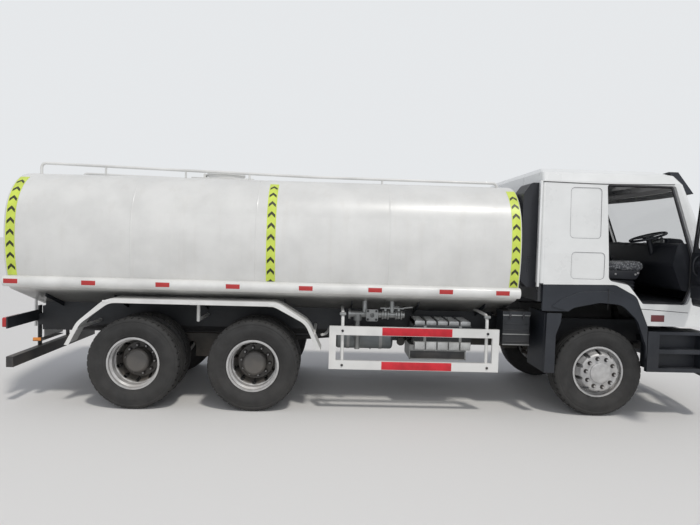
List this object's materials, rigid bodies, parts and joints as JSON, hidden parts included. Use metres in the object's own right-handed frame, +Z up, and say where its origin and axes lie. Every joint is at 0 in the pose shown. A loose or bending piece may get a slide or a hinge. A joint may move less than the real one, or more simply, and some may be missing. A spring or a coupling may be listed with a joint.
{
  "type": "tanker truck",
  "caption": "Three-axle tanker truck: tilting cab over the engine, rounded tank on a ladder frame, steered front wheels and a twin-wheeled rear bogie.",
  "frame": {"origin": "on the ground, on the centreline, below the front axle", "axes": "+X forward, +Y to the truck's left, +Z up"},
  "size_m": [8.4388, 3.8314, 2.8878],
  "materials": {
    "cab_paint": "gloss off-white paint",
    "tank_paint": "white paint with a thin film of dust",
    "dark_plastic": "dark grey moulded plastic",
    "trim_plastic": "dark interior moulding",
    "seat_cover": "woven seat cloth",
    "chassis_paint": "dark chassis paint",
    "cast_metal": "cast and forged metal, painted dark",
    "galvanised": "dull zinc and heat-shield metal",
    "tank_alloy": "dull metal",
    "glass": "tinted safety glass",
    "lamp_glass": "clear lamp cover",
    "lamp_red": "red lamp cover",
    "tyre": "black tread rubber",
    "rim_silver": "silver wheel paint"
  },
  "bodies": {
    "chassis": {"frame": "chassis_paint", "front_axle": "cast_metal", "leaf_springs": "cast_metal", "rear_axles": "cast_metal", "drive_shafts": "chassis_paint", "engine": "cast_metal", "bumper": "dark_plastic", "headlamps": "lamp_glass", "steps": "dark_plastic", "wheel_flaps": "dark_plastic", "tank_shell": "tank_paint", "tank_cradle": "chassis_paint", "side_rails": "tank_paint", "handrails": "tank_paint", "manhole_neck": "tank_paint", "mudguards": "tank_paint", "side_guards": "tank_paint", "silencer": "galvanised", "fuel_tank": "tank_alloy", "air_tanks": "tank_alloy", "battery_box": "chassis_paint", "outlet_pipes": "galvanised", "rear_bar": "chassis_paint", "tail_lamps": "lamp_red"},
    "manhole_lid": {"manhole_lid": "tank_paint"},
    "cab": {"cab_back": "cab_paint", "cab_side_left": "cab_paint", "cab_side_right": "cab_paint", "cab_front": "cab_paint", "cab_roof": "cab_paint", "windscreen": "glass", "cab_floor": "trim_plastic", "arches": "dark_plastic", "grille": "dark_plastic", "visor": "dark_plastic", "air_intake": "dark_plastic", "seats": "seat_cover", "dashboard": "trim_plastic", "steering_wheel": "trim_plastic"},
    "door_left": {"door_left": "cab_paint", "door_glass_left": "glass", "mirror_left": "dark_plastic"},
    "door_right": {"door_right": "cab_paint", "door_glass_right": "glass", "mirror_right": "dark_plastic"},
    "knuckle_left": {"knuckle_left": "cast_metal"},
    "knuckle_right": {"knuckle_right": "cast_metal"},
    "tie_rod": {"tie_rod": "cast_metal"},
    "wheel_front_left": {"tyre_front_left": "tyre", "rim_front_left": "rim_silver"},
    "wheel_front_right": {"tyre_front_right": "tyre", "rim_front_right": "rim_silver"},
    "wheels_axle2_left": {"tyres_axle2_left": "tyre", "rims_axle2_left": "rim_silver"},
    "wheels_axle2_right": {"tyres_axle2_right": "tyre", "rims_axle2_right": "rim_silver"},
    "wheels_axle3_left": {"tyres_axle3_left": "tyre", "rims_axle3_left": "rim_silver"},
    "wheels_axle3_right": {"tyres_axle3_right": "tyre", "rims_axle3_right": "rim_silver"}
  },
  "joints": [
    {"name": "lid_hinge", "type": "hinge", "parent": "chassis", "child": "manhole_lid", "pos_m": [-4.855, 0, 2.793], "axis": [0, -1, 0], "range_deg": [0, 95]},
    {"name": "cab_tilt", "type": "hinge", "parent": "chassis", "child": "cab", "pos_m": [1.24, 0, 1.02], "axis": [0, 1, 0], "range_deg": [0, 50]},
    {"name": "door_left_hinge", "type": "hinge", "parent": "cab", "child": "door_left", "pos_m": [1.032, 1.24, 2], "axis": [0, 0, -1], "range_deg": [0, 80]},
    {"name": "door_right_hinge", "type": "hinge", "parent": "cab", "child": "door_right", "pos_m": [1.032, -1.24, 2], "axis": [0, 0, 1], "range_deg": [-80, 2]},
    {"name": "steer_right", "type": "hinge", "parent": "chassis", "child": "knuckle_right", "pos_m": [0, -0.85, 0.525], "axis": [0, 0, 1], "range_deg": [-35, 35]},
    {"name": "steer_left", "type": "hinge", "parent": "chassis", "child": "knuckle_left", "pos_m": [0, 0.85, 0.525], "axis": [0, 0, 1], "range_deg": [-35, 35]},
    {"name": "tie_rod_pin", "type": "hinge", "parent": "knuckle_left", "child": "tie_rod", "pos_m": [-0.23, 0.85, 0.38], "axis": [0, 0, 1], "range_deg": [-35, 35]},
    {"name": "wheel_front_left_spin", "type": "hinge", "parent": "knuckle_left", "child": "wheel_front_left", "pos_m": [0, 1.011, 0.525], "axis": [0, 1, 0], "continuous": true},
    {"name": "wheel_front_right_spin", "type": "hinge", "parent": "knuckle_right", "child": "wheel_front_right", "pos_m": [0, -1.011, 0.525], "axis": [0, 1, 0], "continuous": true},
    {"name": "wheels_axle2_left_spin", "type": "hinge", "parent": "chassis", "child": "wheels_axle2_left", "pos_m": [-4.025, 0.915, 0.525], "axis": [0, 1, 0], "continuous": true},
    {"name": "wheels_axle2_right_spin", "type": "hinge", "parent": "chassis", "child": "wheels_axle2_right", "pos_m": [-4.025, -0.915, 0.525], "axis": [0, 1, 0], "continuous": true},
    {"name": "wheels_axle3_left_spin", "type": "hinge", "parent": "chassis", "child": "wheels_axle3_left", "pos_m": [-5.375, 0.915, 0.525], "axis": [0, 1, 0], "continuous": true},
    {"name": "wheels_axle3_right_spin", "type": "hinge", "parent": "chassis", "child": "wheels_axle3_right", "pos_m": [-5.375, -0.915, 0.525], "axis": [0, 1, 0], "continuous": true}
  ],
  "couplings": [
    {"joint": "steer_left", "follows": "steer_right", "ratio": 1},
    {"joint": "tie_rod_pin", "follows": "steer_right", "ratio": -1}
  ]
}
